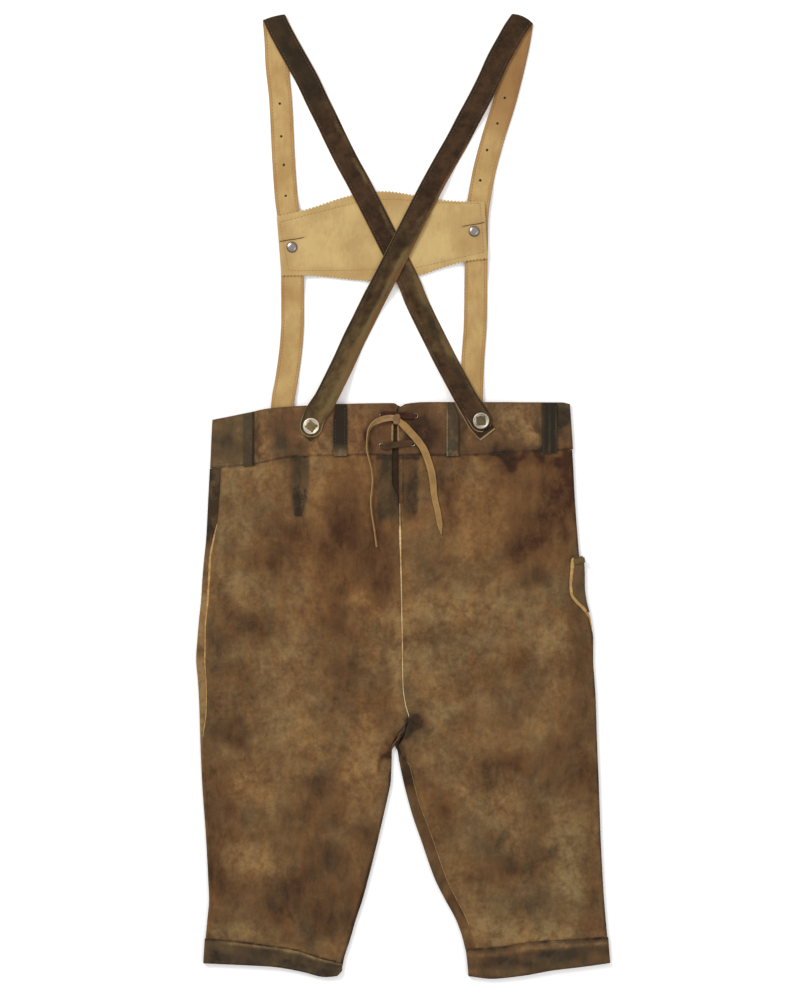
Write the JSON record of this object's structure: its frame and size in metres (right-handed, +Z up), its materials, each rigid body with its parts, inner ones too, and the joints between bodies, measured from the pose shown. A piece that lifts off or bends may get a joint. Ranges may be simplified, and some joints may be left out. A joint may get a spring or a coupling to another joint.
{
  "type": "lederhosen",
  "caption": "Knee-length suede lederhosen with a drop front, laced back and crossed button-on shoulder straps with a chest piece, laid flat with the back up.",
  "frame": {"origin": "centre of the garment's outline, on the surface that it lies on", "axes": "+Z up out of the back of the garment, +Y from the hems towards the shoulders, +X towards the wearer's right"},
  "size_m": [0.4972, 1.1563, 0.015],
  "materials": {
    "suede": "napped suede",
    "band_suede": "napped suede",
    "dark_suede": "napped suede",
    "strap_leather": "matt grain",
    "tan_leather": "natural flesh side",
    "piping_leather": "matt",
    "lace_leather": "matt",
    "bright_metal": "polished",
    "button_metal": "worn satin"
  },
  "bodies": {
    "root": {"back_left": "suede", "back_right": "suede", "front_left": "suede", "front_right": "suede", "front_flap": "suede", "back_gusset": "dark_suede", "waistband_left": "band_suede", "waistband_right": "band_suede", "cuff_left": "band_suede", "cuff_right": "band_suede", "belt_loop_1": "band_suede", "belt_loop_2": "dark_suede", "belt_loop_3": "band_suede", "belt_loop_4": "dark_suede", "knife_pocket": "suede", "pocket_tab": "piping_leather", "piping_centre": "piping_leather", "piping_side": "piping_leather", "piping_pocket": "piping_leather", "piping_inseam": "piping_leather", "eyelet_1": "bright_metal", "eyelet_2": "bright_metal", "eyelet_3": "bright_metal", "eyelet_4": "bright_metal", "lace_upper": "lace_leather", "lace_lower": "lace_leather", "lace_knot": "lace_leather", "lace_end_left": "lace_leather", "lace_end_right": "lace_leather", "strap_rear_left": "strap_leather", "strap_rear_right": "strap_leather", "strap_front_left": "tan_leather", "strap_front_right": "tan_leather", "chest_front": "suede", "chest_backing": "tan_leather", "snap_left": "bright_metal", "snap_right": "bright_metal", "button_left": "button_metal", "button_right": "button_metal", "button_thong_left": "strap_leather", "button_thong_right": "strap_leather", "front_button_left": "button_metal", "front_button_right": "button_metal"}
  },
  "joints": []
}
